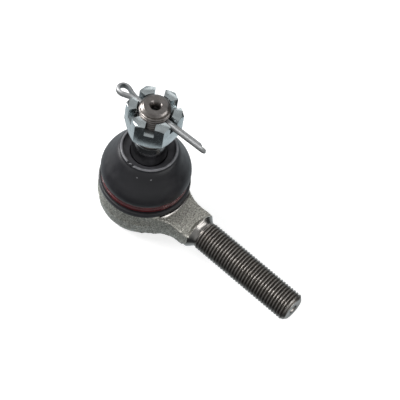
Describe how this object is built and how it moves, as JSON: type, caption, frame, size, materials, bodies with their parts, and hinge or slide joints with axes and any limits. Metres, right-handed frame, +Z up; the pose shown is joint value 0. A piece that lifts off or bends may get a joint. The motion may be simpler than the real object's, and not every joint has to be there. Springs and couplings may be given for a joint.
{
  "type": "tie rod end",
  "caption": "Steering ball joint with a forged eye, threaded shank, tapered stud, rubber dust boot, castle nut and cotter pin.",
  "frame": {"origin": "centre of the cover plate's flat outer face, on the housing's own axis below the ball", "axes": "+Z up the stud towards the castle nut, +X along the threaded shank, +Y across both"},
  "size_m": [0.1107, 0.0416, 0.0786],
  "materials": {
    "forged_steel": "shot-blasted forging, machined on the shoulder and shank",
    "stud_steel": "turned and hardened, lightly oiled",
    "zinc_plate": "bright bluish zinc plate",
    "spring_steel": "oiled spring steel",
    "pressed_steel": "satin pressed sheet",
    "boot_rubber": "matte moulded chloroprene",
    "red_band": "dark red gloss lacquer",
    "seat_acetal": "natural acetal, greased"
  },
  "bodies": {
    "housing": {"housing": "forged_steel", "upper_ball_seat": "seat_acetal", "lower_ball_seat": "seat_acetal", "pressure_plate": "pressed_steel", "preload_disc_spring": "spring_steel", "cover_plate": "pressed_steel", "boot_clamp_ring": "red_band"},
    "boot": {"dust_boot": "boot_rubber"},
    "boot_neck": {"boot_neck_ring": "spring_steel"},
    "stud": {"ball_stud": "stud_steel", "castle_nut": "zinc_plate"},
    "cotter_pin": {"cotter_pin": "zinc_plate"}
  },
  "joints": [
    {"name": "swing_direction", "type": "hinge", "parent": "housing", "child": "boot", "pos_m": [0, 0, 0.018], "axis": [0, 0, 1], "continuous": true},
    {"name": "stud_swing", "type": "hinge", "parent": "boot", "child": "boot_neck", "pos_m": [0, 0, 0.018], "axis": [0, 1, 0], "range_deg": [-20, 20], "deforming": ["dust_boot"]},
    {"name": "stud_spin", "type": "hinge", "parent": "boot_neck", "child": "stud", "pos_m": [0, 0, 0.018], "axis": [0, 0, 1], "continuous": true},
    {"name": "cotter_pin_pull", "type": "slide", "parent": "stud", "child": "cotter_pin", "axis": [-0.999, -0.0436, 0], "range_m": [0, 0.045]}
  ]
}
